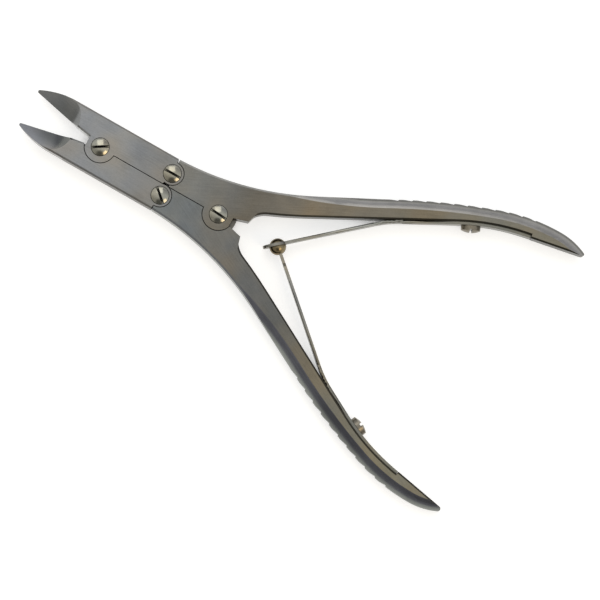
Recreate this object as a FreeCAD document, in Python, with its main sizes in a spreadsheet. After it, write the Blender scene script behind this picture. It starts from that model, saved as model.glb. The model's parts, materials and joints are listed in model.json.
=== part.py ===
import FreeCAD, Part
import math
import os
import re
import Sketcher

# Bone cutting forceps with double action: two blades, two handles, four screws and a pair of leaf springs.
# Every sub-part is drawn as it rests, fully open, with the front pivot at the origin, the handles along +X,
# the upper handle towards +Y and the middle of the steel's thickness at height 0.
# A lower blade or handle is drawn like an upper one and turned half a turn about X.

vector = FreeCAD.Vector
doc = FreeCAD.newDocument("bone_cutting_forceps")
sizes = doc.addObject("Spreadsheet::Sheet", "sizes")
worked = doc.addObject("App::VarSet", "worked")

# Driving dimensions, in millimetres and degrees
driving = {
    # steel, laps and running gaps
    "stock_thickness": 7.0,
    "edge_break": 0.5,
    "body_half": 8.0,
    "lap_gap": 0.06,
    "part_gap": 0.1,
    "part_drop": 0.3,
    "lap_clearance": 0.2,
    # where the four pivot screws sit
    "link_x": 21.2,
    "link_y": 3.5,
    "pivot_span": 38.0,
    # blades
    "jaw_length": 23.0,
    "jaw_open": 12.1,
    "edge_gap": 0.03,
    "edge_half": 0.08,
    "tip_round": 0.45,
    "nose_start": 12.0,
    "crotch_x": 3.9,
    "heel_height": 1.1,
    "relief_x": 8.0,
    "thinning_start": 9.5,
    "tip_half": 0.9,
    "wheel_radius": 24.0,
    "wheel_corner": 6.0,
    "grind_heel": 7.65,
    "grind_width": 4.3,
    "grind_height": 3.02,
    # lugs and the shoulders behind the blades
    "front_lug": 4.4,
    "link_lug": 3.2,
    "rear_lug": 4.5,
    "rear_under_lug": 5.4,
    "rear_flat": 4.15,
    "tail_x": 20.8,
    "tail_gap": 0.35,
    "wedge_angle": 15.0,
    # handle outline
    "flare_start": 18.6,
    "flare_radius": 88.0,
    "flare_angle": 28.2,
    "shank_depth": 5.85,
    "grip_start": 79.0,
    "grip_radius": 195.0,
    "grip_bend": 106.0,
    "crown_reach": 8.7,
    "end_radius": 20.0,
    "end_round": 0.7,
    "handle_end": 132.7,
    "stop_reach": 46.4,
    "stop_gap": 0.05,
    "shoulder_x": 47.0,
    "shoulder_step": 0.338,
    "crook_x": 50.0,
    "crook_lift": 0.5,
    "waist_x": 60.0,
    "seat_bend": 97.0,
    "seat_radius": 66.0,
    # rounded back of the grip and its ribs
    "back_radius": 3.6,
    "back_fade": 76.0,
    "fade_radius": 130.0,
    "fade_angle": 15.0,
    "notch_first": 0.7,
    "notch_pitch": 3.92,
    "notch_depth": 0.42,
    "notch_run": 2.6,
    "notch_step": 0.4,
    # pivot screws
    "shank_radius": 1.5,
    "head_radius": 2.5,
    "head_sink": 1.4,
    "head_rise": 0.8,
    "head_rim": 0.15,
    "slot_width": 0.7,
    "slot_depth": 0.9,
    "screw_short": 0.1,
    "running_fit": 0.05,
    "thread_fit": 0.02,
    "loop_fit": 0.1,
    "bore_gap": 0.12,
    # leaf springs and their ball joint
    "leaf_thickness": 0.8,
    "leaf_width": 5.4,
    "leaf_end": 117.2,
    "leaf_end_gap": 0.15,
    "leaf_lean": 41.6,
    "leaf_seat_gap": 0.02,
    "leaf_tip_width": 3.6,
    "bend_radius": 30.0,
    "ball_x": 56.9,
    "ball_y": 0.6,
    "ball_radius": 2.4,
    "eye_radius": 3.4,
    "eye_shift": 0.7,
    "eye_offset": 0.6,
    "neck_offset": -0.11,
    "neck_width": 2.2,
    "neck_length": 5.0,
    "socket_gap": 0.08,
    # spring screws
    "spring_screw_x": 100.7,
    "spring_shank": 1.25,
    "spring_head": 2.75,
    "spring_head_rise": 2.0,
    "spring_head_rim": 1.3,
    "spring_head_gap": 0.07,
    "spring_screw_depth": 3.0,
}
for row, (alias, number) in enumerate(driving.items(), 1):
    sizes.set("A%d" % row, alias)
    sizes.set("B%d" % row, str(number))
    sizes.setAlias("B%d" % row, alias)
doc.recompute()


# Every size and every worked value has a name with an underscore, so a formula is written with bare names
def formula(text):
    def owner(match):
        name = match.group(0)
        return ("sizes." if name in driving else "worked.") + name
    return re.sub(r"\b[a-z]+(?:_[a-z]+)+\b", owner, text)


def value(text):
    result = sizes.evalExpression(formula(text))
    return float(getattr(result, "Value", result))


def work_out(name, text):
    worked.addProperty("App::PropertyFloat", name)
    worked.setExpression(name, formula(text))
    worked.recompute()


# Linkage: how far each handle turns while its blade turns by jaw_open
work_out("link_arm", "hypot(link_x; link_y)")
work_out("back_arm", "hypot(pivot_span - link_x; link_y)")
work_out("closed_rise", "asin(link_arm / back_arm * sin(atan(link_y / link_x) / 1deg + jaw_open)) / 1deg")
work_out("handle_swing", "closed_rise - atan(link_y / (pivot_span - link_x)) / 1deg")

# Parting line: the halves meet a little below the line of the pivots, so the lower half is cut back
work_out("upper_parting", "part_gap - part_drop")
work_out("lower_parting", "part_gap + part_drop")

# Blade tip: a small arc between the straight edge and the long arc of the nose
work_out("tip_run", "(jaw_length - tip_round + (edge_gap + tip_round) * sin(jaw_open)) / cos(jaw_open)")
work_out("tip_rise", "tip_run * sin(jaw_open) + (edge_gap + tip_round) * cos(jaw_open)")
work_out("nose_run", "jaw_length - tip_round - nose_start")
work_out("nose_drop", "body_half - tip_rise")
work_out("nose_radius", "(nose_run ^ 2 + nose_drop ^ 2 - tip_round ^ 2) / (2 * (nose_drop - tip_round))")
work_out("nose_scale", "nose_radius / (nose_radius - tip_round)")

# Grinding wheel: its rim passes through the cutting edge and through the ridge of the blade
work_out("chord_rise", "grind_height - edge_half")
work_out("chord_length", "hypot(grind_width; chord_rise)")
work_out("wheel_reach", "sqrt(wheel_radius ^ 2 - chord_length ^ 2 / 4)")
work_out("wheel_offset", "grind_width / 2 - wheel_reach * chord_rise / chord_length + edge_gap")
work_out("wheel_height", "edge_half + chord_rise / 2 + wheel_reach * grind_width / chord_length")

# Handle outline: flare, straight shank, two grip arcs and the rounded end
work_out("crown_x", "handle_end - crown_reach")
work_out("flare_end_x", "flare_start + flare_radius * sin(flare_angle)")
work_out("flare_end_y", "body_half + flare_radius * (1 - cos(flare_angle))")
work_out("grip_start_y", "flare_end_y + (grip_start - flare_end_x) * tan(flare_angle)")
work_out("bend_angle", "asin(sin(flare_angle) - (grip_bend - grip_start) / grip_radius) / 1deg")
work_out("grip_bend_y", "grip_start_y + grip_radius * (cos(bend_angle) - cos(flare_angle))")
work_out("crown_radius", "(crown_x - grip_bend) / sin(bend_angle)")
work_out("crown_y", "grip_bend_y + crown_radius * (1 - cos(bend_angle))")
work_out("end_x", "handle_end - end_round")
work_out("end_rise", "sqrt((end_radius - end_round) ^ 2 - (end_x - crown_x) ^ 2)")
work_out("end_y", "crown_y - end_radius + end_rise")
work_out("end_scale", "end_radius / (end_radius - end_round)")

# Inner face of the handle and the seat of the leaf spring
work_out("shank_x", "flare_end_x + shank_depth * sin(flare_angle)")
work_out("shank_y", "flare_end_y - shank_depth * cos(flare_angle)")
work_out("shoulder_y", "shank_y + (shoulder_x - shank_x) * tan(flare_angle) - shoulder_step")
work_out("waist_y", "shank_y + (waist_x - shank_x) * tan(flare_angle)")
work_out("crook_y", "shank_y + (crook_x - shank_x) * tan(flare_angle) + crook_lift")
work_out("waist_aim", "atan2(waist_y - crook_y; waist_x - crook_x) / 1deg")
work_out("waist_radius",
         "hypot(waist_x - crook_x; waist_y - crook_y) / (2 * sin(flare_angle - waist_aim))")
work_out("crook_aim", "atan2(crook_y - shoulder_y; crook_x - shoulder_x) / 1deg")
work_out("crook_radius", "hypot(crook_x - shoulder_x; crook_y - shoulder_y)"
         " / (2 * sin(crook_aim + flare_angle - 2 * waist_aim))")
work_out("seat_bend_y", "shank_y + (seat_bend - shank_x) * tan(flare_angle)")
work_out("seat_centre_x", "seat_bend + seat_radius * sin(flare_angle)")
work_out("seat_centre_y", "seat_bend_y - seat_radius * cos(flare_angle)")
work_out("seat_angle", "asin(sin(flare_angle) - (leaf_end - seat_bend) / seat_radius) / 1deg")
work_out("seat_end_y", "seat_centre_y + seat_radius * cos(seat_angle)")
work_out("ledge_height", "leaf_thickness + leaf_seat_gap")
work_out("ledge_x", "leaf_end + ledge_height * sin(seat_angle)")
work_out("ledge_y", "seat_end_y - ledge_height * cos(seat_angle)")
work_out("ledge_span", "hypot(end_x - ledge_x; end_y - ledge_y)")
work_out("ledge_aim", "atan2(end_y - ledge_y; end_x - ledge_x) / 1deg")
work_out("ledge_angle", "ledge_aim - asin(end_round / ledge_span) / 1deg")
work_out("ledge_length", "sqrt(ledge_span ^ 2 - end_round ^ 2)")
work_out("screw_angle", "asin(sin(flare_angle) - (spring_screw_x - seat_bend) / seat_radius) / 1deg")
work_out("screw_x", "seat_centre_x - seat_radius * sin(screw_angle)")
work_out("screw_y", "seat_centre_y + seat_radius * cos(screw_angle)")

# Ribs: how far along the grip the first one of the second arc lies, as an angle of that arc
work_out("back_sag", "back_radius - sqrt(back_radius ^ 2 - stock_thickness ^ 2 / 4)")
work_out("first_arc_run", "grip_radius * (flare_angle - bend_angle) * pi / 180")
work_out("rib_angle", "flare_angle - notch_first / grip_radius * 180 / pi")
work_out("late_rib_angle",
         "bend_angle - (notch_first + 8 * notch_pitch - first_arc_run) / crown_radius * 180 / pi")
work_out("fade_start", "flare_angle - fade_angle")
work_out("fade_x", "back_fade - fade_radius * (sin(flare_angle) - sin(fade_start))")
work_out("fade_end_y", "grip_start_y - (grip_start - back_fade) * tan(flare_angle)")
work_out("fade_y", "fade_end_y + fade_radius * (cos(flare_angle) - cos(fade_start))")

# Leaf springs: middle line of the strip along the seat, then a bend, then straight to the ball joint
work_out("strip_offset", "leaf_thickness / 2 + leaf_seat_gap")
work_out("strip_radius", "seat_radius - strip_offset")
work_out("strip_end_angle",
         "asin(sin(flare_angle) - (leaf_end - leaf_end_gap - seat_bend) / seat_radius) / 1deg")
work_out("strip_end_x", "seat_centre_x - strip_radius * sin(strip_end_angle)")
work_out("strip_end_y", "seat_centre_y + strip_radius * cos(strip_end_angle)")
work_out("strip_bend_x", "seat_centre_x - strip_radius * sin(flare_angle)")
work_out("strip_bend_y", "seat_centre_y + strip_radius * cos(flare_angle)")
for leaf, side, lift in (("eye", "ball_y", "eye_offset"), ("neck", "-ball_y", "neck_offset")):
    work_out(leaf + "_x", "ball_x - %s * sin(leaf_lean)" % lift)
    work_out(leaf + "_y", "%s + %s * cos(leaf_lean)" % (side, lift))
    work_out(leaf + "_knee", ("((strip_bend_y - {0}_y) * cos(flare_angle) - (strip_bend_x - {0}_x)"
                              " * sin(flare_angle)) / sin(leaf_lean - flare_angle)").format(leaf))
work_out("bend_reach", "bend_radius * tan((leaf_lean - flare_angle) / 2)")

# Where the finished part sits: middle of its length at X 0, underside at Z 0
work_out("shift_x", "-(handle_end - jaw_length) / 2")
work_out("shift_z", "stock_thickness / 2")


def new_body(name, place="placement(vector(0; 0; 0); rotationz(0))", turned=False):
    body = doc.addObject("PartDesign::Body", name)
    body.Label = name
    turn = "rotationx(180)" if turned else "rotationx(0)"
    seat = "placement(vector(shift_x; 0; shift_z); %s)" % turn
    body.setExpression("Placement", formula(seat + " * " + place))
    return body


# Sketch tools: every corner's place and every radius is bound to the sheet
def new_sketch(body, name, plane="XY_Plane", place=None):
    sketch = body.newObject("Sketcher::SketchObject", name)
    support = [item for item in body.Origin.OriginFeatures if item.Role == plane][0]
    sketch.AttachmentSupport = (support, "")
    sketch.MapMode = "FlatFace"
    if place:
        sketch.setExpression("AttachmentOffset", formula(place))
    return sketch


def bind(sketch, name, constraint, text):
    index = sketch.addConstraint(constraint)
    sketch.renameConstraint(index, name)
    sketch.setExpression("Constraints." + name, formula(text))


def pin_point(sketch, name, geometry, end, x_text, y_text):
    for letter, kind, text in (("x", "DistanceX", x_text), ("y", "DistanceY", y_text)):
        held = Sketcher.Constraint(kind, -1, 1, geometry, end, value(text))
        bind(sketch, "%s_%s" % (name, letter), held, text)


# The shorter arc between two points; a turn of 1 bends to the left along the way, and -1 to the right
def arc_between(start, end, radius, turn):
    chord = end - start
    left = vector(-chord.y, chord.x, 0).normalize()
    reach = max(radius ** 2 - chord.Length ** 2 / 4, 0) ** 0.5
    centre = start + chord * 0.5 + left * (reach * turn)
    first, last = (start, end) if turn > 0 else (end, start)
    from_angle = math.atan2(first.y - centre.y, first.x - centre.x)
    to_angle = math.atan2(last.y - centre.y, last.x - centre.x)
    if to_angle < from_angle:
        to_angle += 2 * math.pi
    return Part.ArcOfCircle(Part.Circle(centre, vector(0, 0, 1), radius), from_angle, to_angle)


# An outline is a list of corners (x, y), or (x, y, radius, turn) where an arc arrives at the corner
def draw_outline(sketch, corners, closed=True, name="corner"):
    points = [vector(value(corner[0]), value(corner[1]), 0) for corner in corners]
    edges = []
    for step in range(len(corners) if closed else len(corners) - 1):
        arrival = (step + 1) % len(corners)
        bend = corners[arrival][2:]
        if bend:
            shape = arc_between(points[step], points[arrival], value(bend[0]), bend[1])
            index = sketch.addGeometry(shape)
            edges.append((index, 1, 2) if bend[1] > 0 else (index, 2, 1))
            held = Sketcher.Constraint("Radius", index, value(bend[0]))
            bind(sketch, "%s_%d_radius" % (name, arrival), held, bend[0])
        else:
            index = sketch.addGeometry(Part.LineSegment(points[step], points[arrival]))
            edges.append((index, 1, 2))
    for place, corner in enumerate(corners):
        index, near_end, far_end = edges[place] if place < len(edges) else edges[-1]
        end = near_end if place < len(edges) else far_end
        pin_point(sketch, "%s_%d" % (name, place), index, end, corner[0], corner[1])
        if place < len(edges) and (closed or place > 0):
            before = edges[place - 1]
            sketch.addConstraint(Sketcher.Constraint("Coincident", before[0], before[2], index, near_end))
    return sketch


def draw_circle(sketch, x_text, y_text, radius_text):
    centre = vector(value(x_text), value(y_text), 0)
    index = sketch.addGeometry(Part.Circle(centre, vector(0, 0, 1), value(radius_text)))
    pin_point(sketch, "centre", index, 3, x_text, y_text)
    bind(sketch, "radius", Sketcher.Constraint("Radius", index, value(radius_text)), radius_text)
    return sketch


# Feature tools
def pad(body, name, sketch, length, both=False, down=False):
    item = body.newObject("PartDesign::Pad", name)
    item.Profile = sketch
    item.SideType = "Symmetric" if both else "One side"
    item.Reversed = down
    item.setExpression("Length", formula(length))
    return item


def cut(body, name, sketch, depth=None, both=False, up=False):
    item = body.newObject("PartDesign::Pocket", name)
    item.Profile = sketch
    item.SideType = "Symmetric" if both else "One side"
    item.Reversed = up
    if depth:
        item.setExpression("Length", formula(depth))
    else:
        item.Type = "ThroughAll"
    return item


# Chamfers the edges of the steel's two flat faces that pass through the given points
def break_edges(body, name, places):
    doc.recompute()
    last = body.Tip
    names = []
    for x_text, y_text in places:
        for half in (value("stock_thickness") / 2, -value("stock_thickness") / 2):
            spot = Part.Vertex(value(x_text), value(y_text), half)
            for number, edge in enumerate(last.Shape.Edges, 1):
                if edge.distToShape(spot)[0] < 0.05:
                    names.append("Edge%d" % number)
    item = body.newObject("PartDesign::Chamfer", name)
    item.Base = (last, names)
    item.setExpression("Size", formula("edge_break"))
    return item


def turn_profile(body, name, sketch, kind="Revolution", axis="V_Axis"):
    item = body.newObject("PartDesign::" + kind, name)
    item.Profile = sketch
    item.ReferenceAxis = (sketch, [axis])
    item.Angle = 360
    return item


def at_height(text):
    return "placement(vector(0; 0; %s); rotationz(0))" % text


# One half of a lap joint: a round lug on one side of the steel, and on the other side the round
# pocket that the partner's lug turns in. Side is 1 for a lug above the middle and -1 below it.
def lap(body, name, x_text, y_text, lug_radius, pocket_radius, side, flat=None):
    lug_face = "%d * lap_gap / 2" % side
    lug = new_sketch(body, name + "_lug_sketch", place=at_height(lug_face))
    if flat:
        end = 1 if value(flat) > 0 else -1
        rise = "%d * sqrt(%s ^ 2 - (%s) ^ 2)" % (end, lug_radius, flat)
        flat_x = "%s + %s" % (x_text, flat)
        draw_outline(lug, [
            (flat_x, rise),
            ("%s - %d * %s" % (x_text, end, lug_radius), "0", lug_radius, 1),
            (flat_x, "-" + rise, lug_radius, 1),
        ])
    else:
        draw_circle(lug, x_text, y_text, lug_radius)
    pad(body, name + "_lug", lug, "stock_thickness / 2 - lap_gap / 2", down=side < 0)
    pocket = new_sketch(body, name + "_pocket_sketch", place=at_height(lug_face))
    draw_circle(pocket, x_text, y_text, "%s + lap_clearance" % pocket_radius)
    cut(body, name + "_pocket", pocket, up=side < 0)


# A lug with a headed screw through it: a running bore and a counterbore from the head's side
def headed_bore(body, name, x_text, y_text, fit, head_side):
    bore = new_sketch(body, name + "_bore_sketch")
    draw_circle(bore, x_text, y_text, "shank_radius + " + fit)
    cut(body, name + "_bore", bore, both=True)
    face = "%d * stock_thickness / 2" % head_side
    recess = new_sketch(body, name + "_recess_sketch", place=at_height(face))
    draw_circle(recess, x_text, y_text, "head_radius + bore_gap")
    cut(body, name + "_recess", recess, "head_sink", up=head_side < 0)


# A lug that the screw is threaded into
def threaded_bore(body, name, x_text, y_text):
    bore = new_sketch(body, name + "_bore_sketch")
    draw_circle(bore, x_text, y_text, "shank_radius + thread_fit")
    cut(body, name + "_bore", bore, both=True)


def make_jaw(name, turned, front_side, tail_side):
    body = new_body(name, turned=turned)
    parting = "lower_parting" if turned else "upper_parting"
    outline = new_sketch(body, "outline")
    draw_outline(outline, [
        ("-crotch_x", parting),
        ("-crotch_x", "heel_height"),
        ("-relief_x", "relief_x * tan(jaw_open) + edge_gap / cos(jaw_open)"),
        ("edge_gap * sin(jaw_open) - tip_run * cos(jaw_open)",
         "edge_gap * cos(jaw_open) + tip_run * sin(jaw_open)"),
        ("-nose_start - nose_run * nose_scale",
         "body_half - nose_radius + (nose_radius - nose_drop) * nose_scale", "tip_round", -1),
        ("-nose_start", "body_half", "nose_radius", -1),
        ("tail_x", "body_half"),
        ("link_x", "link_y"),
        ("link_x - (link_y - %s) * tan(wedge_angle)" % parting, parting),
    ])
    pad(body, "blank", outline, "stock_thickness", both=True)
    break_edges(body, "broken_edges", [
        ("(tail_x - nose_start) / 2", "body_half"),
    ])
    # blade: thinned towards the tip, then hollow ground on both faces by a wheel that runs along the edge
    thinning = new_sketch(body, "thinning_sketch", "XZ_Plane")
    for label, side in (("top", ""), ("under", "-")):
        half = side + "stock_thickness / 2"
        draw_outline(thinning, [
            ("-thinning_start", half),
            ("-jaw_length - tip_round", half),
            ("-jaw_length - tip_round", side + "tip_half"),
        ], name=label)
    cut(body, "thinning", thinning, both=True)
    wheel_place = ("placement(vector(wheel_offset * sin(jaw_open); wheel_height;"
                   " -wheel_offset * cos(jaw_open)); rotationy(180 - jaw_open))")
    wheel = new_sketch(body, "wheel_sketch", "XZ_Plane", wheel_place)
    draw_outline(wheel, [
        ("grind_heel", "0"),
        ("grind_heel", "wheel_corner - wheel_radius"),
        ("grind_heel + wheel_corner", "-wheel_radius", "wheel_corner", 1),
        ("jaw_length + wheel_corner", "-wheel_radius"),
        ("jaw_length + wheel_corner", "0"),
    ])
    groove = turn_profile(body, "hollow_grind", wheel, "Groove", "H_Axis")
    mirrored = body.newObject("PartDesign::Mirrored", "hollow_grind_under")
    mirrored.Originals = [groove]
    plane = [item for item in body.Origin.OriginFeatures if item.Role == "XY_Plane"][0]
    mirrored.MirrorPlane = (plane, [""])
    body.Tip = mirrored
    # joints at the front pivot and at the link screw
    lap(body, "front", "0", "0", "front_lug", "front_lug", front_side, "-crotch_x")
    lap(body, "tail", "link_x", "link_y", "link_lug", "link_lug", tail_side)
    head_side = -1 if turned else 1
    if front_side == head_side:
        headed_bore(body, "front", "0", "0", "loop_fit", head_side)
    else:
        threaded_bore(body, "front", "0", "0")
    headed_bore(body, "tail", "link_x", "link_y", "running_fit", head_side)
    return body


def make_handle(name, turned, rear_lug, rear_flat, partner_lug, link_side):
    body = new_body(name, turned=turned)
    parting = "lower_parting" if turned else "upper_parting"
    outline = new_sketch(body, "outline")
    draw_outline(outline, [
        ("link_x + (link_y - %s) * tan(wedge_angle)" % parting, parting),
        ("link_x", "link_y"),
        ("tail_x + tail_gap", "body_half"),
        ("flare_end_x", "flare_end_y", "flare_radius", 1),
        ("grip_start", "grip_start_y"),
        ("grip_bend", "grip_bend_y", "grip_radius", -1),
        ("crown_x", "crown_y", "crown_radius", -1),
        ("crown_x + (end_x - crown_x) * end_scale", "crown_y - end_radius + end_rise * end_scale",
         "end_radius", -1),
        ("ledge_x + ledge_length * cos(ledge_angle)", "ledge_y + ledge_length * sin(ledge_angle)",
         "end_round", -1),
        ("ledge_x", "ledge_y"),
        ("leaf_end", "seat_end_y"),
        ("seat_bend", "seat_bend_y", "seat_radius", 1),
        ("waist_x", "waist_y"),
        ("crook_x", "crook_y", "waist_radius", -1),
        ("shoulder_x", "shoulder_y", "crook_radius", 1),
        ("stop_reach", "(stop_reach - pivot_span) * tan(handle_swing) + stop_gap / cos(handle_swing)"),
        ("pivot_span", parting),
    ])
    pad(body, "blank", outline, "stock_thickness", both=True)
    break_edges(body, "broken_edges", [
        ("flare_start + flare_radius * sin(flare_angle / 2)",
         "body_half + flare_radius * (1 - cos(flare_angle / 2))"),
        ("(waist_x + seat_bend) / 2", "(waist_y + seat_bend_y) / 2"),
        ("seat_centre_x - seat_radius * sin((flare_angle + seat_angle) / 2)",
         "seat_centre_y + seat_radius * cos((flare_angle + seat_angle) / 2)"),
        ("ledge_x + ledge_length / 2 * cos(ledge_angle)", "ledge_y + ledge_length / 2 * sin(ledge_angle)"),
    ])
    lap(body, "rear", "pivot_span", "0", rear_lug, partner_lug, 1, rear_flat)
    lap(body, "link", "link_x", "link_y", "link_lug", "link_lug", link_side)
    if turned:
        threaded_bore(body, "rear", "pivot_span", "0")
    else:
        headed_bore(body, "rear", "pivot_span", "0", "running_fit", 1)
    threaded_bore(body, "link", "link_x", "link_y")
    round_back(body)
    cut_ribs(body, "ribs", "grip_start + grip_radius * sin(flare_angle)",
             "grip_start_y - grip_radius * cos(flare_angle)", "grip_radius", "rib_angle", 8)
    cut_ribs(body, "late_ribs", "crown_x", "crown_y - crown_radius", "crown_radius", "late_rib_angle", 3)
    hole = new_sketch(body, "spring_hole_sketch", "XZ_Plane", spring_screw_seat)
    draw_circle(hole, "0", "0", "spring_shank + thread_fit")
    cut(body, "spring_hole", hole, "spring_screw_depth + bore_gap")
    return body


# The back of the grip is rounded over the whole thickness, and the rounding runs out on the shank
def round_back(body):
    path = new_sketch(body, "back_path")
    draw_outline(path, [
        ("fade_x", "fade_y"),
        ("back_fade", "fade_end_y", "fade_radius", 1),
        ("grip_start", "grip_start_y"),
        ("grip_bend", "grip_bend_y", "grip_radius", -1),
        ("crown_x", "crown_y", "crown_radius", -1),
        ("crown_x + (end_x - crown_x) * end_scale", "crown_y - end_radius + end_rise * end_scale",
         "end_radius", -1),
        ("crown_x + (end_x - crown_x) * end_scale + 4 * end_rise / (end_radius - end_round)",
         "crown_y - end_radius + end_rise * end_scale - 4 * (end_x - crown_x) / (end_radius - end_round)"),
    ], closed=False)
    section = new_sketch(body, "back_section", "YZ_Plane",
                         "placement(vector(fade_y; 0; fade_x); rotationy(fade_start))")
    draw_outline(section, [
        ("-back_sag", "-stock_thickness / 2"),
        ("-back_sag", "stock_thickness / 2", "back_radius", 1),
        ("-back_sag", "stock_thickness / 2 + 1"),
        ("1.5", "stock_thickness / 2 + 1"),
        ("1.5", "-stock_thickness / 2 - 1"),
        ("-back_sag", "-stock_thickness / 2 - 1"),
    ])
    sweep = body.newObject("PartDesign::SubtractivePipe", "rounded_back")
    sweep.Profile = section
    sweep.Spine = (path, [])
    sweep.Mode = "Standard"


def cut_ribs(body, name, x_text, y_text, radius, angle, count):
    place = "placement(vector(%s; %s; 0); rotationz(%s))" % (x_text, y_text, angle)
    notch = new_sketch(body, name + "_notch_sketch", place=place)
    draw_outline(notch, [
        ("-notch_run", radius),
        ("0", radius + " - notch_depth"),
        ("notch_step", radius + " + 0.02"),
        ("notch_step", radius + " + 1"),
        ("-notch_run", radius + " + 1"),
    ])
    first = cut(body, name + "_notch", notch, both=True)
    row = body.newObject("PartDesign::PolarPattern", name)
    row.Originals = [first]
    row.Axis = (notch, ["N_Axis"])
    row.Mode = "Spacing"
    row.setExpression("Offset", formula("notch_pitch / %s * 180 / pi" % radius))
    row.Occurrences = count
    row.Reversed = True
    body.Tip = row


spring_screw_seat = "placement(vector(screw_x; 0; -screw_y); rotationy(screw_angle))"


def make_leaf(name, turned, leaf):
    body = new_body(name, turned=turned)
    path = new_sketch(body, "strip_path")
    knee_x = "{0}_x + {0}_knee * cos(leaf_lean)".format(leaf)
    knee_y = "{0}_y + {0}_knee * sin(leaf_lean)".format(leaf)
    draw_outline(path, [
        ("strip_end_x", "strip_end_y"),
        ("strip_bend_x", "strip_bend_y", "strip_radius", 1),
        (knee_x + " + bend_reach * cos(flare_angle)", knee_y + " + bend_reach * sin(flare_angle)"),
        (knee_x + " - bend_reach * cos(leaf_lean)", knee_y + " - bend_reach * sin(leaf_lean)",
         "bend_radius", 1),
        (leaf + "_x", leaf + "_y"),
    ], closed=False)
    section = new_sketch(body, "strip_section", "YZ_Plane",
                         "placement(vector(strip_end_y; 0; strip_end_x); rotationy(strip_end_angle))")
    draw_outline(section, [
        ("-leaf_thickness / 2", "-leaf_width / 2"),
        ("leaf_thickness / 2", "-leaf_width / 2"),
        ("leaf_thickness / 2", "leaf_width / 2"),
        ("-leaf_thickness / 2", "leaf_width / 2"),
    ])
    strip = body.newObject("PartDesign::AdditivePipe", "strip")
    strip.Profile = section
    strip.Spine = (path, [])
    strip.Mode = "Standard"
    # the free end narrows towards the ball joint, seen square to its flat face
    free_end = "placement(vector({0}_x; 0; -{0}_y); rotationy(leaf_lean))".format(leaf)
    taper = new_sketch(body, "taper_sketch", "XZ_Plane", free_end)
    for label, side in (("top", ""), ("under", "-")):
        wide = side + "leaf_width / 2"
        tip = side + "leaf_tip_width / 2"
        outline = [(leaf + "_knee - bend_reach", wide)]
        if leaf == "neck":
            neck = side + "neck_width / 2"
            outline += [("neck_length + 1", tip), ("neck_length", neck), ("-1", neck)]
        else:
            outline += [("0", tip), ("-1", tip)]
        outline += [("-1", side + "leaf_width"), (leaf + "_knee - bend_reach", side + "leaf_width")]
        draw_outline(taper, outline, name=label)
    cut(body, "taper", taper, both=True)
    hole = new_sketch(body, "screw_hole_sketch", "XZ_Plane", spring_screw_seat)
    draw_circle(hole, "0", "0", "spring_shank + running_fit")
    cut(body, "screw_hole", hole, both=True)
    if leaf == "eye":
        eye = new_sketch(body, "eye_sketch", "XZ_Plane", free_end)
        draw_circle(eye, "-eye_shift", "0", "eye_radius")
        pad(body, "eye", eye, "leaf_thickness", both=True)
        half_ball(body, "socket", "Groove", "ball_radius + socket_gap", "ball_x", "ball_y")
    return body


def half_ball(body, name, kind, radius, x_text="0", y_text="0"):
    place = "placement(vector(%s; %s; 0); rotationz(0))" % (x_text, y_text)
    half = new_sketch(body, name + "_half_profile", place=place)
    draw_outline(half, [("0", "-(%s)" % radius), (radius, "0", radius, 1), ("0", radius, radius, 1)])
    return turn_profile(body, name, half, kind)


def make_ball():
    place = ("placement(vector(ball_x; -ball_y; 0); rotationz(leaf_lean))")
    body = new_body("spring_ball", place, turned=True)
    half_ball(body, "ball", "Revolution", "ball_radius")
    slot = new_sketch(body, "tongue_slot_sketch")
    near = "neck_offset - leaf_thickness / 2 - thread_fit"
    far = "neck_offset + leaf_thickness / 2 + thread_fit"
    draw_outline(slot, [
        ("-thread_fit", near),
        ("ball_radius + 1", near),
        ("ball_radius + 1", far),
        ("-thread_fit", far),
    ])
    cut(body, "tongue_slot", slot, "neck_width + 2 * thread_fit", both=True)
    return body


def make_spring_screw(name, turned):
    place = ("placement(vector(screw_x; screw_y; 0); rotationz(screw_angle))"
             " * placement(vector(0; 0; 0); rotationx(90)) * placement(vector(0; 0; 0); rotationz(90))")
    body = new_body(name, place, turned)
    bearing = "(leaf_thickness + leaf_seat_gap + spring_head_gap)"
    bulge = "(spring_head_rise - spring_head_rim)"
    dome = "(spring_head ^ 2 + {0} ^ 2) / (2 * {0})".format(bulge)
    half = new_sketch(body, "half_profile", "XZ_Plane")
    draw_outline(half, [
        ("0", bearing + " + spring_head_rise"),
        ("spring_head", bearing + " + spring_head_rim", dome, -1),
        ("spring_head", bearing),
        ("spring_shank", bearing),
        ("spring_shank", "-spring_screw_depth"),
        ("0", "-spring_screw_depth"),
    ])
    turn_profile(body, "turned_screw", half)
    cut_slot(body, bearing + " + spring_head_rise", "spring_head")
    return body


def make_pivot_screw(name, x_text, y_text, turn_text):
    place = "placement(vector(%s; %s; 0); rotationz(%s))" % (x_text, y_text, turn_text)
    body = new_body(name, place)
    dome = "(head_radius ^ 2 + (head_rise - head_rim) ^ 2) / (2 * (head_rise - head_rim))"
    half = new_sketch(body, "half_profile", "XZ_Plane")
    draw_outline(half, [
        ("0", "stock_thickness / 2 + head_rise"),
        ("head_radius", "stock_thickness / 2 + head_rim", dome, -1),
        ("head_radius", "stock_thickness / 2 - head_sink"),
        ("shank_radius", "stock_thickness / 2 - head_sink"),
        ("shank_radius", "screw_short - stock_thickness / 2"),
        ("0", "screw_short - stock_thickness / 2"),
    ])
    turn_profile(body, "turned_screw", half)
    cut_slot(body, "stock_thickness / 2 + head_rise", "head_radius")
    return body


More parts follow.
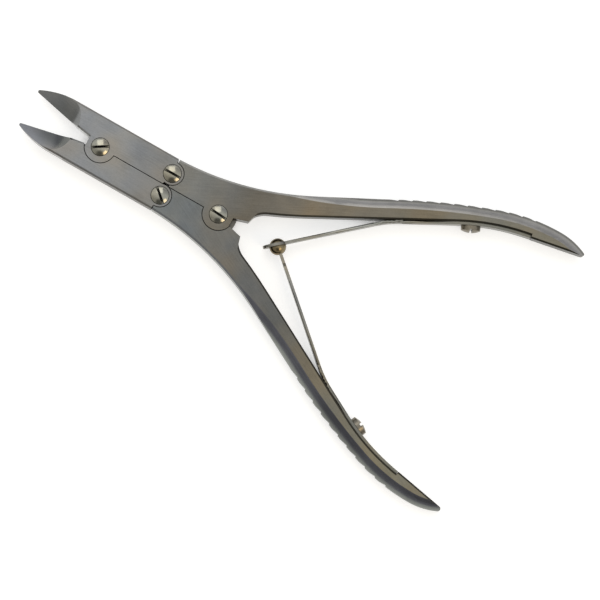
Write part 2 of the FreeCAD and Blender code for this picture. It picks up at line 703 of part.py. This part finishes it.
def cut_slot(body, crown, radius):
    slot = new_sketch(body, "slot_sketch", place=at_height(crown))
    draw_outline(slot, [
        ("-%s - slot_width" % radius, "-slot_width / 2"),
        ("%s + slot_width" % radius, "-slot_width / 2"),
        ("%s + slot_width" % radius, "slot_width / 2"),
        ("-%s - slot_width" % radius, "slot_width / 2"),
    ])
    cut(body, "slot", slot, "slot_depth")


make_jaw("upper_jaw", False, 1, 1)
make_jaw("lower_jaw", True, 1, -1)
make_handle("upper_handle", False, "rear_lug", "rear_flat", "rear_under_lug", -1)
make_handle("lower_handle", True, "rear_under_lug", None, "rear_lug", 1)
make_pivot_screw("front_pivot_screw", "0", "0", "32")
make_pivot_screw("upper_link_screw", "link_x", "link_y", "0")
make_pivot_screw("lower_link_screw", "link_x", "-link_y", "-41")
make_pivot_screw("rear_pivot_screw", "pivot_span", "0", "-4")

make_leaf("upper_leaf_spring", False, "eye")
make_leaf("lower_leaf_spring", True, "neck")
make_ball()
make_spring_screw("upper_spring_screw", False)
make_spring_screw("lower_spring_screw", True)

doc.recompute()
bodies = doc.findObjects("PartDesign::Body")
for item in doc.Objects:
    if not item.isValid():
        raise RuntimeError("%s doesn't build: %s" % (item.Name, item.State))
for body in bodies:
    for item in body.Group:
        before = getattr(item, "BaseFeature", None)
        if before and abs(item.Shape.Volume - before.Shape.Volume) < 0.001:
            raise RuntimeError("%s of %s changes nothing" % (item.Name, body.Label))
    if not body.Shape.isValid() or len(body.Shape.Solids) != 1:
        raise RuntimeError("%s isn't one valid solid" % body.Label)

os.makedirs("parts", exist_ok=True)
for body in bodies:
    body.Shape.exportStep("parts/%s.step" % body.Label)
    print("%s %.1f mm3" % (body.Label, body.Shape.Volume))
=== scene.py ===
import bpy
import json
import math
from mathutils import Matrix, Vector

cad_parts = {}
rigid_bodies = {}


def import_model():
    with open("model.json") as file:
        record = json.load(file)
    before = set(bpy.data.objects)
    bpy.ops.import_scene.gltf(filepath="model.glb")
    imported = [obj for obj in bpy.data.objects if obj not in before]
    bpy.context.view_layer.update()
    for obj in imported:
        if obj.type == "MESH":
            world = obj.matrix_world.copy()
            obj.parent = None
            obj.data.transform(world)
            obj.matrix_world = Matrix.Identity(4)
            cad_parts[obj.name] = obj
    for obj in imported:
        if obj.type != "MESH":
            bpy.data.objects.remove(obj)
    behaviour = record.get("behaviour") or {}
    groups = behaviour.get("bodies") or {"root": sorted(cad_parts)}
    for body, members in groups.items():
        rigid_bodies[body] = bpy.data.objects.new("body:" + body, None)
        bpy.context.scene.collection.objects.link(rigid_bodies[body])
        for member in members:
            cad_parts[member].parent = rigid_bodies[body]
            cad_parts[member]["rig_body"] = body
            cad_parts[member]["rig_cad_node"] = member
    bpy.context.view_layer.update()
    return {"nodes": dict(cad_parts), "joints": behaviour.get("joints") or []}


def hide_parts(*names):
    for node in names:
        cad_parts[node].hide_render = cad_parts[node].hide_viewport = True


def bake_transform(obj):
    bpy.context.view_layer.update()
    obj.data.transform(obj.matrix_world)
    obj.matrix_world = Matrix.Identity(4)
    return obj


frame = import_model()
print("frame loaded:", len(frame["nodes"]), "nodes")

mm = 0.001


# Colours are written as sRGB hex and turned to linear here
def toLinear(hexText):
    parts = [int(hexText[i:i + 2], 16) / 255 for i in (1, 3, 5)]
    return tuple(p / 12.92 if p <= 0.04045 else ((p + 0.055) / 1.055) ** 2.4 for p in parts) + (1.0,)


# Adds a node, sets its properties and its sockets, and links what comes from other nodes
def addNode(tree, kind, settings=None, **sockets):
    node = tree.nodes.new(kind)
    for name, value in (settings or {}).items():
        setattr(node, name, value)
    for name, value in sockets.items():
        key = int(name[1:]) if name[0] == "i" and name[1:].isdigit() else name.replace("_", " ")
        if isinstance(value, bpy.types.NodeSocket):
            tree.links.new(value, node.inputs[key])
        else:
            node.inputs[key].default_value = value
    return node


def setRamp(node, stops):
    ramp = node.color_ramp
    while len(ramp.elements) > 1:
        ramp.elements.remove(ramp.elements[-1])
    for index, (place, colour) in enumerate(stops):
        element = ramp.elements[0] if index == 0 else ramp.elements.new(place)
        element.position = place
        element.color = toLinear(colour) if isinstance(colour, str) else (colour, colour, colour, 1.0)


# Ground stainless steel, belted along its length and then blasted and washed until it's satin.
# What the eye gets: soft grey reflections, faint lines along the piece, a tone that wanders along it and also
# paints shade where the light falls off across the tool, side walls painted a darker brown as painted shade,
# dark grime with painted shade in slots and joints. Tones are given at places along X, in mm.
# grain is the distance between belt lines, drawn wider than the real 0.05 so that it shows, run their
# length and turn their direction. For a blade, the painted shade on its walls is given from upright (0) to
# flat (1)
satin = {
    "blade": {
        "tones": [(-70, "#8a8a89"), (-49, "#898987"), (-39, "#7f7f7d")],
        # The darker wall colour is painted shade, and the light colour on the walls between the blades is a
        # painted reflection of the floor
        "wallShade": "#56524e", "wallShading": [(0.0, 1.0), (0.3, 0.9), (0.75, 0.45), (0.97, 0.0)],
        "outside": (0.0, 0.3),
        "floorReflection": "#dededb", "between": (-0.9, -0.6),
        "rough": 0.34, "grain": 0.35, "run": 6.0, "turn": 0.0},
    "upperHandle": {
        "tones": [(-27, "#767774"), (-10, "#686359"), (6, "#776f61"), (36, "#746e60"), (48, "#797569"),
                  (70, "#7a7669")],
        "side": 1.0, "rough": 0.34, "grain": 0.35, "run": 6.0, "turn": 26.0},
    "lowerHandle": {
        "tones": [(-29, "#727574"), (-8, "#6b6a66"), (12, "#63625d"), (28, "#726e62"), (60, "#7d7867"),
                  (72, "#787569")],
        "side": -1.0, "rough": 0.34, "grain": 0.35, "run": 6.0, "turn": -26.0},
}
# The rounded backs of the handles get painted shade and painted reflection in place of the flats' tone. The
# colour is given from upright (0) to nearly flat (1), and its strength at places along X
backShading = {
    "upperHandle": {
        "slopeShades": [(0.0, "#5a5a56"), (0.25, "#50504c"), (0.5, "#4b4b48"), (0.7, "#8d8c89"),
                   (0.95, "#8f8d89")],
        "shadeGains": [(0, 0.95), (70, 0.9)]},
    "lowerHandle": {
        "slopeShades": [(0.0, "#868984"), (0.6, "#797c79"), (0.78, "#67686f"), (0.95, "#67686f")],
        "shadeGains": [(8, 1.0), (27, 0.95), (36, 0.62), (48, 0.62), (58, 0.88), (68, 0.84)]},
}
rounding = (0.1, 0.3)  # how far a face has turned outwards where the flat's tone gives way to the back's
# The handles' inner edges are painted darker along the leaf springs, as painted shade
innerEdgeShade = {"plain": "#4a4740", "leafShade": "#1c1b14", "from": 5.0, "to": 32.0, "turned": (-0.7, -0.25),
          "most": 0.9}
# What makes the grain: shares of belt lines, blasted specks and clouds. spread is how far light and dark
# grain lie from the tone, and speck the size of a speck in mm, drawn coarser than the real 0.1
grain = {"lines": 0.35, "specks": 0.25, "clouds": 0.4, "low": 0.38, "high": 0.62, "spread": 0.08,
         "speck": 0.3}
relief = {"lines": 0.3, "specks": 0.25, "height": 0.01}
sheen = {"low": 0.3, "high": 0.7, "smoother": 0.04, "rougher": 0.05}  # roughness follows the belt lines
# Faint blue and brown clouds, and brown stains. patch is their size in mm
wash = {"tints": [(0.36, "#f4f8ff"), (0.5, "#fbfbfb"), (0.64, "#fff9f1")], "patch": 9.0}
stain = {"colour": "#6b5f4c", "patch": 7.0, "from": 0.45, "to": 0.75, "most": 0.14}
# Grime together with painted shade lies where other steel stands within reach, in mm, from shut in to open
grimeAndShade = {"colour": "#0e0c0a", "reach": 0.9, "open": 0.72, "shut": 0.3}
slotGrimeAndShade = {"colour": "#080706", "reach": 1.2, "open": 0.93, "shut": 0.5}
# The blades' hollow faces come off a finer wheel. A grey painted shade lies at the heel, next to the cutting
# edge, deeper on the lower blade. long and wide are along and across the edge, in mm, and the painted shade
# is full up to a share of them
hollow = {"rough": 0.2, "heel": -62.6, "flatter": 0.985, "hollowShade": "#646664", "centre": (-65.4, 2.6),
          "lean": 12.1, "long": 11.5, "wide": 5.2, "full": 0.3, "lower": 1.0, "upper": 0.5}


# Painted shade on walls that face away from the line of the pivots, and a painted reflection of the floor
# that makes the walls between the blades bright
def shadeWalls(tree, look, colour, where, faces, lean):
    wallShading = addNode(tree, "ShaderNodeValToRGB", None, Fac=lean.outputs["Value"])
    setRamp(wallShading, look["wallShading"])
    side = addNode(tree, "ShaderNodeMath", {"operation": "SIGN"}, i0=where.outputs["Y"])
    outward = addNode(tree, "ShaderNodeMath", {"operation": "MULTIPLY"}, i0=side.outputs["Value"],
                      i1=faces.outputs["Y"])
    away = addNode(tree, "ShaderNodeMapRange", {"interpolation_type": "SMOOTHSTEP"},
                   Value=outward.outputs["Value"], From_Min=look["outside"][0], From_Max=look["outside"][1])
    wallShadeAmount = addNode(tree, "ShaderNodeMath", {"operation": "MULTIPLY"}, i0=wallShading.outputs["Color"],
                   i1=away.outputs["Result"])
    colour = addNode(tree, "ShaderNodeMix", {"data_type": "RGBA"}, i0=wallShadeAmount.outputs["Value"], i6=colour,
                     i7=toLinear(look["wallShade"])).outputs[2]
    between = addNode(tree, "ShaderNodeMapRange", {"interpolation_type": "SMOOTHSTEP"},
                      Value=outward.outputs["Value"], From_Min=look["between"][0],
                      From_Max=look["between"][1], To_Min=1.0, To_Max=0.0)
    return addNode(tree, "ShaderNodeMix", {"data_type": "RGBA"}, i0=between.outputs["Result"], i6=colour,
                   i7=toLinear(look["floorReflection"])).outputs[2]


# Painted shade and reflection on the handle's rounded back, and painted shade on its inner edge by the leaf
# spring
def paintBackShade(tree, side, back, colour, where, faces, lean, shading):
    outward = addNode(tree, "ShaderNodeMath", {"operation": "MULTIPLY"}, i0=faces.outputs["Y"], i1=side)
    slopeShades = addNode(tree, "ShaderNodeValToRGB", None, Fac=lean.outputs["Value"])
    setRamp(slopeShades, back["slopeShades"])
    low = back["shadeGains"][0][0]
    high = back["shadeGains"][-1][0]
    run = addNode(tree, "ShaderNodeMapRange", None, Value=where.outputs["X"], From_Min=low * mm,
                  From_Max=high * mm)
    shadeGains = addNode(tree, "ShaderNodeValToRGB", None, Fac=run.outputs["Result"])
    setRamp(shadeGains, [((x - low) / (high - low), gain) for x, gain in back["shadeGains"]])
    # Painted shade and reflection on the rounded back, set by how far each face leans and where it lies along
    # X
    backShade = addNode(tree, "ShaderNodeVectorMath", {"operation": "MULTIPLY"}, i0=slopeShades.outputs["Color"],
                    i1=shadeGains.outputs["Color"])
    backShade = addNode(tree, "ShaderNodeVectorMath", {"operation": "SCALE"}, i0=backShade.outputs["Vector"],
                    Scale=shading.outputs["Result"])
    rounded = addNode(tree, "ShaderNodeMapRange", {"interpolation_type": "SMOOTHSTEP"},
                      Value=outward.outputs["Value"], From_Min=rounding[0], From_Max=rounding[1])
    colour = addNode(tree, "ShaderNodeMix", {"data_type": "RGBA"}, i0=rounded.outputs["Result"], i6=colour,
                     i7=backShade.outputs["Vector"]).outputs[2]
    # Painted shade on faces turned inwards, deepest along the leaf spring
    leafShade = addNode(tree, "ShaderNodeMapRange", {"interpolation_type": "SMOOTHSTEP"},
                     Value=where.outputs["X"], From_Min=innerEdgeShade["from"] * mm, From_Max=innerEdgeShade["to"] * mm)
    shadedInnerEdge = addNode(tree, "ShaderNodeMix", {"data_type": "RGBA"}, i0=leafShade.outputs["Result"],
                    i6=toLinear(innerEdgeShade["plain"]), i7=toLinear(innerEdgeShade["leafShade"]))
    turned = addNode(tree, "ShaderNodeMapRange", {"interpolation_type": "SMOOTHSTEP"},
                     Value=outward.outputs["Value"], From_Min=innerEdgeShade["turned"][0],
                     From_Max=innerEdgeShade["turned"][1], To_Min=innerEdgeShade["most"], To_Max=0.0)
    return addNode(tree, "ShaderNodeMix", {"data_type": "RGBA"}, i0=turned.outputs["Result"], i6=colour,
                   i7=shadedInnerEdge.outputs[2]).outputs[2]


# The painted shade on a hollow face. The second value is 1 on the hollow faces and 0 elsewhere
def shadeHollow(tree, ground, colour, where, lean):
    leaning = addNode(tree, "ShaderNodeMath", {"operation": "LESS_THAN"}, i0=lean.outputs["Value"],
                      i1=ground["flatter"])
    beyond = addNode(tree, "ShaderNodeMath", {"operation": "LESS_THAN"}, i0=where.outputs["X"],
                     i1=ground["heel"] * mm)
    hollowed = addNode(tree, "ShaderNodeMath", {"operation": "MULTIPLY"}, i0=leaning.outputs["Value"],
                       i1=beyond.outputs["Value"])
    height = addNode(tree, "ShaderNodeMath", {"operation": "ABSOLUTE"}, i0=where.outputs["Y"])
    flat = addNode(tree, "ShaderNodeCombineXYZ", None, X=where.outputs["X"], Y=height.outputs["Value"])
    flat = addNode(tree, "ShaderNodeVectorMath", {"operation": "SUBTRACT"}, i0=flat.outputs["Vector"],
                   i1=(ground["centre"][0] * mm, ground["centre"][1] * mm, 0))
    flat = addNode(tree, "ShaderNodeMapping", None, Vector=flat.outputs["Vector"],
                   Rotation=(0, 0, math.radians(ground["lean"])))
    flat = addNode(tree, "ShaderNodeVectorMath", {"operation": "MULTIPLY"}, i0=flat.outputs["Vector"],
                   i1=(1 / (ground["long"] * mm), 1 / (ground["wide"] * mm), 0))
    flat = addNode(tree, "ShaderNodeVectorMath", {"operation": "LENGTH"}, i0=flat.outputs["Vector"])
    # Painted shade at the heel of the hollow, next to the cutting edge
    hollowShade = addNode(tree, "ShaderNodeMapRange", {"interpolation_type": "SMOOTHSTEP"},
                   Value=flat.outputs["Value"], From_Min=ground["full"], From_Max=1.0, To_Min=1.0, To_Max=0.0)
    deep = addNode(tree, "ShaderNodeMapRange", None, Value=where.outputs["Y"], From_Min=-mm, From_Max=mm,
                   To_Min=ground["lower"], To_Max=ground["upper"])
    hollowShade = addNode(tree, "ShaderNodeMath", {"operation": "MULTIPLY"}, i0=hollowShade.outputs["Result"],
                   i1=deep.outputs["Result"])
    hollowShade = addNode(tree, "ShaderNodeMath", {"operation": "MULTIPLY"}, i0=hollowShade.outputs["Value"],
                   i1=hollowed.outputs["Value"])
    colour = addNode(tree, "ShaderNodeMix", {"data_type": "RGBA"}, i0=hollowShade.outputs["Value"], i6=colour,
                     i7=toLinear(ground["hollowShade"])).outputs[2]
    return colour, hollowed.outputs["Value"]


# edge is how far the light rounds the sharp edges, in mm
def makeSteel(name, look, edge=0.12, dirtAndShade=grimeAndShade, back=None, ground=None):
    material = bpy.data.materials.new(name)
    material.use_nodes = True
    tree = material.node_tree
    tree.nodes.clear()
    spot = addNode(tree, "ShaderNodeTexCoord")
    place = spot.outputs["Object"]
    where = addNode(tree, "ShaderNodeSeparateXYZ", None, Vector=place)
    faces = addNode(tree, "ShaderNodeSeparateXYZ", None, Vector=spot.outputs["Normal"])
    along = addNode(tree, "ShaderNodeMapping", None, Vector=place,
                    Rotation=(0, 0, math.radians(-look["turn"]))).outputs["Vector"]
    squeezed = addNode(tree, "ShaderNodeMapping", None, Vector=along,
                       Scale=(1 / (look["run"] * mm), 1 / (look["grain"] * mm), 1 / (look["grain"] * mm)))
    lines = addNode(tree, "ShaderNodeTexNoise", None, Vector=squeezed.outputs["Vector"],
                    Scale=1.0, Detail=3.0, Roughness=0.6)
    clouds = addNode(tree, "ShaderNodeTexNoise", None, Vector=place, Scale=1 / (stain["patch"] * mm),
                     Detail=3.0)
    hues = addNode(tree, "ShaderNodeTexNoise", {"noise_dimensions": "4D"}, Vector=place, W=3.0,
                   Scale=1 / (wash["patch"] * mm), Detail=1.0)
    specks = addNode(tree, "ShaderNodeTexNoise", None, Vector=place, Scale=1 / (grain["speck"] * mm),
                     Detail=2.0)
    grainy = addNode(tree, "ShaderNodeMath", {"operation": "MULTIPLY"}, i0=lines.outputs["Fac"],
                     i1=grain["lines"])
    for pattern, share in ((specks, grain["specks"]), (clouds, grain["clouds"])):
        grainy = addNode(tree, "ShaderNodeMath", {"operation": "MULTIPLY_ADD"}, i0=pattern.outputs["Fac"],
                         i1=share, i2=grainy.outputs["Value"])
    # The tones along X are the steel's own tone, and they also paint shade where the light falls off across
    # the tool
    first = look["tones"][0][0]
    last = look["tones"][-1][0] + 0.001
    reach = addNode(tree, "ShaderNodeMapRange", None, Value=where.outputs["X"], From_Min=first * mm,
                    From_Max=last * mm)
    tone = addNode(tree, "ShaderNodeValToRGB", None, Fac=reach.outputs["Result"])
    setRamp(tone, [((x - first) / (last - first), shade) for x, shade in look["tones"]])
    shading = addNode(tree, "ShaderNodeMapRange", None, Value=grainy.outputs["Value"], From_Min=grain["low"],
                      From_Max=grain["high"], To_Min=1 - 2 * grain["spread"], To_Max=1 + 2 * grain["spread"])
    colour = addNode(tree, "ShaderNodeVectorMath", {"operation": "SCALE"}, i0=tone.outputs["Color"],
                     Scale=shading.outputs["Result"]).outputs["Vector"]
    washing = addNode(tree, "ShaderNodeValToRGB", None, Fac=hues.outputs["Fac"])
    setRamp(washing, wash["tints"])
    colour = addNode(tree, "ShaderNodeVectorMath", {"operation": "MULTIPLY"}, i0=colour,
                     i1=washing.outputs["Color"]).outputs["Vector"]
    stains = addNode(tree, "ShaderNodeMapRange", None, Value=clouds.outputs["Fac"], From_Min=stain["from"],
                     From_Max=stain["to"], To_Max=stain["most"])
    colour = addNode(tree, "ShaderNodeMix", {"data_type": "RGBA"}, i0=stains.outputs["Result"], i6=colour,
                     i7=toLinear(stain["colour"])).outputs[2]
    lean = addNode(tree, "ShaderNodeMath", {"operation": "ABSOLUTE"}, i0=faces.outputs["Z"])
    if "wallShading" in look:
        colour = shadeWalls(tree, look, colour, where, faces, lean)
    if back:
        colour = paintBackShade(tree, look["side"], back, colour, where, faces, lean, shading)
    rough = addNode(tree, "ShaderNodeMapRange", None, Value=lines.outputs["Fac"], From_Min=sheen["low"],
                    From_Max=sheen["high"], To_Min=look["rough"] - sheen["smoother"],
                    To_Max=look["rough"] + sheen["rougher"]).outputs["Result"]
    if ground:
        colour, hollowed = shadeHollow(tree, ground, colour, where, lean)
        rough = addNode(tree, "ShaderNodeMix", None, i0=hollowed, i2=rough, i3=ground["rough"]).outputs[0]
    # Grime together with painted shade darkens gaps, slots and joints, where other steel stands close
    openness = addNode(tree, "ShaderNodeAmbientOcclusion", {"samples": 8}, Distance=dirtAndShade["reach"] * mm)
    clearOfGrimeAndShade = addNode(tree, "ShaderNodeMapRange", {"interpolation_type": "SMOOTHSTEP"},
                    Value=openness.outputs["AO"], From_Min=dirtAndShade["shut"], From_Max=dirtAndShade["open"])
    colour = addNode(tree, "ShaderNodeMix", {"data_type": "RGBA"}, i0=clearOfGrimeAndShade.outputs["Result"],
                     i6=toLinear(dirtAndShade["colour"]), i7=colour).outputs[2]
    surface = addNode(tree, "ShaderNodeBevel", {"samples": 4}, Radius=edge * mm)
    for pattern, strength in ((lines, relief["lines"]), (specks, relief["specks"])):
        surface = addNode(tree, "ShaderNodeBump", None, Height=pattern.outputs["Fac"], Strength=strength,
                          Distance=relief["height"] * mm, Normal=surface.outputs["Normal"])
    shader = addNode(tree, "ShaderNodeBsdfPrincipled", None, Base_Color=colour, Metallic=1.0, Roughness=rough,
                     Normal=surface.outputs["Normal"])
    addNode(tree, "ShaderNodeOutputMaterial", None, Surface=shader.outputs["BSDF"])
    return material


def dress(nodes, material):
    for node in nodes:
        mesh = frame["nodes"][node].data
        mesh.materials.clear()
        mesh.materials.append(material)


# Screws are turned and polished, so they mirror the room more sharply and show a warm spot of lamp light.
# Their turning marks are short and run across
screwLook = {"tones": [(-60, "#9a998e"), (60, "#9a998e")],
             "rough": 0.15, "grain": 0.25, "run": 0.8, "turn": 0.0}
# The screws of the leaf springs are duller and browner
smallLook = {"tones": [(-60, "#7d7668"), (60, "#7d7668")],
             "rough": 0.3, "grain": 0.25, "run": 0.8, "turn": 0.0}
# The ball was turned and oil blacked, and the black is worn to bronze
ballLook = {"tones": [(-60, "#7c7158"), (60, "#7c7158")],
            "rough": 0.22, "grain": 0.3, "run": 0.8, "turn": 0.0}
# Spring strip is cold rolled: smooth and tan grey, with a dull sheen
springLook = {"tones": [(-5, "#86847b"), (18, "#918f86"), (30, "#7d7b71"), (60, "#77756b")],
              "rough": 0.33, "grain": 0.4, "run": 5.0, "turn": 0.0}
bladeSteel = makeSteel("hollow ground stainless steel", satin["blade"], ground=hollow)
upperSteel = makeSteel("satin stainless steel upper handle", satin["upperHandle"], back=backShading["upperHandle"])
lowerSteel = makeSteel("satin stainless steel lower handle", satin["lowerHandle"], back=backShading["lowerHandle"])
screwSteel = makeSteel("turned and polished stainless steel", screwLook, edge=0.08, dirtAndShade=slotGrimeAndShade)
smallSteel = makeSteel("turned stainless steel, tarnished", smallLook, edge=0.08)
ballSteel = makeSteel("oil tinted turned steel", ballLook, edge=0.08)
springSteel = makeSteel("cold rolled spring steel", springLook, edge=0.1)
dress(["upper_jaw", "lower_jaw"], bladeSteel)
dress(["upper_handle"], upperSteel)
dress(["lower_handle"], lowerSteel)
dress(["front_pivot_screw", "upper_link_screw", "lower_link_screw", "rear_pivot_screw"], screwSteel)
dress(["upper_spring_screw", "lower_spring_screw"], smallSteel)
dress(["spring_ball"], ballSteel)
print("steel finishes on the solids")

# Leaf springs: each bends near the place where it leaves its handle, so it is a piece of its own,
# cut across its length into short bands that can follow the bend. seat and lean are the angles of its
# seated and its free length, and the bend runs from before to after the knee, in mm
leaves = {
    "upperLeaf": {"node": "upper_leaf_spring", "handle": "upper_handle", "spring": "upper_spring",
                  "joint": "upper_leaf_flex", "side": 1, "seat": 28.2, "lean": 41.6,
                  "before": 7.0, "after": 15.0},
    "lowerLeaf": {"node": "lower_leaf_spring", "handle": "lower_handle", "spring": "lower_spring",
                  "joint": "lower_leaf_flex", "side": -1, "seat": 28.2, "lean": 41.6,
                  "before": 7.0, "after": 15.0},
}
leafMesh = {"merge": 0.002, "bands": 24, "smooth": 30.0}


def makeLeaf(name, leaf):
    joint = next(j for j in frame["joints"] if j["name"] == leaf["joint"])
    knee = Vector(joint["pos_m"])
    seat = math.radians(leaf["seat"])
    lean = math.radians(leaf["lean"])
    start = knee + Vector((math.cos(seat), leaf["side"] * math.sin(seat), 0)) * (leaf["before"] * mm)
    end = knee - Vector((math.cos(lean), leaf["side"] * math.sin(lean), 0)) * (leaf["after"] * mm)
    source = frame["nodes"][leaf["node"]]
    piece = source.copy()
    piece.data = source.data.copy()
    piece.name = name
    piece.parent = None
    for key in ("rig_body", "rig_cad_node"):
        if key in piece:
            del piece[key]
    bpy.context.scene.collection.objects.link(piece)
    bpy.ops.object.select_all(action="DESELECT")
    piece.select_set(True)
    bpy.context.view_layer.objects.active = piece
    bpy.ops.object.mode_set(mode="EDIT")
    bpy.ops.mesh.select_all(action="SELECT")
    bpy.ops.mesh.remove_doubles(threshold=leafMesh["merge"] * mm)
    for band in range(leafMesh["bands"] + 1):
        spot = start.lerp(end, band / leafMesh["bands"])
        bpy.ops.mesh.select_all(action="SELECT")
        bpy.ops.mesh.bisect(plane_co=spot, plane_no=(end - start).normalized())
    bpy.ops.mesh.select_all(action="SELECT")
    bpy.ops.mesh.quads_convert_to_tris()
    bpy.ops.object.mode_set(mode="OBJECT")
    bpy.ops.object.shade_smooth_by_angle(angle=math.radians(leafMesh["smooth"]))
    piece.data.materials.clear()
    piece.data.materials.append(springSteel)
    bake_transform(piece)
    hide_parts(leaf["node"])


for name, leaf in leaves.items():
    makeLeaf(name, leaf)

# Floor: white to the camera and in reflections, with the soft shadow of the tool kept. It goes dark where
# the tool shuts the light out, as in the narrow gaps between its pieces
floorLook = {"size": 3.0, "below": 0.02, "paint": "#c9c9c7", "glow": 0.62, "reach": 4.0, "shut": 0.1,
             "open": 0.34}
bpy.ops.object.select_all(action="DESELECT")
bpy.ops.mesh.primitive_plane_add(size=floorLook["size"], location=(0, 0, -floorLook["below"] * mm))
floor = bpy.context.object
floor.name = "floor"
floorPaint = bpy.data.materials.new("matt white paper")
floorPaint.use_nodes = True
tree = floorPaint.node_tree
tree.nodes.clear()
paper = addNode(tree, "ShaderNodeBsdfDiffuse", None, Color=toLinear(floorLook["paint"]))
rays = addNode(tree, "ShaderNodeLightPath")
seen = addNode(tree, "ShaderNodeMath", {"operation": "MAXIMUM"}, i0=rays.outputs["Is Camera Ray"],
               i1=rays.outputs["Is Glossy Ray"])
seen = addNode(tree, "ShaderNodeMath", {"operation": "MAXIMUM"}, i0=seen.outputs["Value"],
               i1=rays.outputs["Is Transmission Ray"])
shelter = addNode(tree, "ShaderNodeAmbientOcclusion", {"samples": 8}, Distance=floorLook["reach"] * mm)
lit = addNode(tree, "ShaderNodeMapRange", {"interpolation_type": "SMOOTHSTEP"}, Value=shelter.outputs["AO"],
              From_Min=floorLook["shut"], From_Max=floorLook["open"], To_Max=floorLook["glow"])
glowing = addNode(tree, "ShaderNodeMath", {"operation": "MULTIPLY"}, i0=seen.outputs["Value"],
                  i1=lit.outputs["Result"])
glow = addNode(tree, "ShaderNodeEmission", None, Color=(1, 1, 1, 1), Strength=glowing.outputs["Value"])
together = addNode(tree, "ShaderNodeAddShader", None, i0=paper.outputs["BSDF"], i1=glow.outputs["Emission"])
addNode(tree, "ShaderNodeOutputMaterial", None, Surface=together.outputs["Shader"])
floor.data.materials.append(floorPaint)

# Studio: the room seen across the tool, from low in front (-1) over the top (0) to low behind (1).
# It's dim in front, plain overhead, dim again where the tent has its seam, and bright low behind. Along X
# it's dark low beyond the blades, and whoever looks on makes a dark patch in front
room = {
    "strength": 1.7,
    "across": [(-1.0, "#9b9a97"), (-0.87, "#a09f9b"), (-0.5, "#9b9a97"), (-0.24, "#bfbebc"), (0.0, "#cfcfce"),
               (0.3, "#cfcfcf"), (0.52, "#b4b5b8"), (0.76, "#9899a0"), (0.93, "#cbccd1"), (1.0, "#dcdcdd")],
    "along": [(-1.0, 0.8), (-0.88, 0.85), (-0.7, 1.0), (1.0, 1.0)],
    "patch": {"way": (0.3, -0.6, 0.742), "stops": [(0.0, 1.0), (0.88, 1.0), (0.96, 0.3), (1.0, 0.3)]},
}
world = bpy.data.worlds.new("studio")
bpy.context.scene.world = world
world.use_nodes = True
tree = world.node_tree
tree.nodes.clear()
way = addNode(tree, "ShaderNodeTexCoord").outputs["Generated"]
facing = addNode(tree, "ShaderNodeSeparateXYZ", None, Vector=way)
half = addNode(tree, "ShaderNodeMath", {"operation": "MULTIPLY_ADD"}, i0=facing.outputs["Y"], i1=0.5, i2=0.5)
sky = addNode(tree, "ShaderNodeValToRGB", None, Fac=half.outputs["Value"])
setRamp(sky, [(0.5 + 0.5 * place, shade) for place, shade in room["across"]])
fore = addNode(tree, "ShaderNodeMath", {"operation": "MULTIPLY_ADD"}, i0=facing.outputs["X"], i1=0.5, i2=0.5)
length = addNode(tree, "ShaderNodeValToRGB", None, Fac=fore.outputs["Value"])
setRamp(length, [(0.5 + 0.5 * place, shade) for place, shade in room["along"]])
near = addNode(tree, "ShaderNodeVectorMath", {"operation": "DOT_PRODUCT"}, i0=way, i1=room["patch"]["way"])
patch = addNode(tree, "ShaderNodeValToRGB", None, Fac=near.outputs["Value"])
setRamp(patch, room["patch"]["stops"])
dimmed = addNode(tree, "ShaderNodeMath", {"operation": "MULTIPLY"}, i0=length.outputs["Color"],
                 i1=patch.outputs["Color"])
strength = addNode(tree, "ShaderNodeMath", {"operation": "MULTIPLY"}, i0=dimmed.outputs["Value"],
                   i1=room["strength"])
background = addNode(tree, "ShaderNodeBackground", None, Color=sky.outputs["Color"],
                     Strength=strength.outputs["Value"])
addNode(tree, "ShaderNodeOutputWorld", None, Surface=background.outputs["Background"])

lamps = {
    "keyLight": {"place": (-0.35, 0.55, 0.9), "aim": (0, 0, 0), "size": 0.7, "power": 2.0,
                 "colour": "#fffdf8"},
    "warmLight": {"place": (0.7, -0.2, 0.69), "aim": (0, 0, 0), "size": 0.45, "power": 1.6,
                  "colour": "#ffe4b8"},
}
for name, lamp in lamps.items():
    light = bpy.data.lights.new(name, "AREA")
    light.size = lamp["size"]
    light.energy = lamp["power"]
    light.color = toLinear(lamp["colour"])[:3]
    holder = bpy.data.objects.new(name, light)
    bpy.context.scene.collection.objects.link(holder)
    holder.location = lamp["place"]
    holder.rotation_euler = (Vector(lamp["aim"]) - Vector(lamp["place"])).to_track_quat("-Z", "Y").to_euler()
print("floor, room and lamps set")

# Camera: nearly straight above, tipped a little towards the lower handle, with the tool turned in the
# picture. across is the width that it sees, in mm
shot = {"centre": (14.85, -9.3, 3.5), "turn": 29.75, "tip": 4.5, "across": 168.0, "distance": 1500.0,
        "sensor": 36.0, "nearest": 0.05, "farthest": 20.0}
cameraData = bpy.data.cameras.new("camera")
camera = bpy.data.objects.new("camera", cameraData)
bpy.context.scene.collection.objects.link(camera)
tip = math.radians(shot["tip"])
turn = math.radians(shot["turn"])
back = Vector((0, -math.sin(tip), math.cos(tip)))
right = Vector((math.cos(turn), math.sin(turn), 0))
right = (right - back * right.dot(back)).normalized()
up = back.cross(right)
axes = Matrix((right, up, back)).transposed().to_4x4()
axes.translation = Vector(shot["centre"]) * mm + back * (shot["distance"] * mm)
camera.matrix_world = axes
cameraData.sensor_width = shot["sensor"]
cameraData.lens = shot["sensor"] * shot["distance"] / shot["across"]
cameraData.clip_start = shot["nearest"]
cameraData.clip_end = shot["farthest"]
bpy.context.scene.camera = camera
bpy.context.scene.view_settings.view_transform = "Standard"
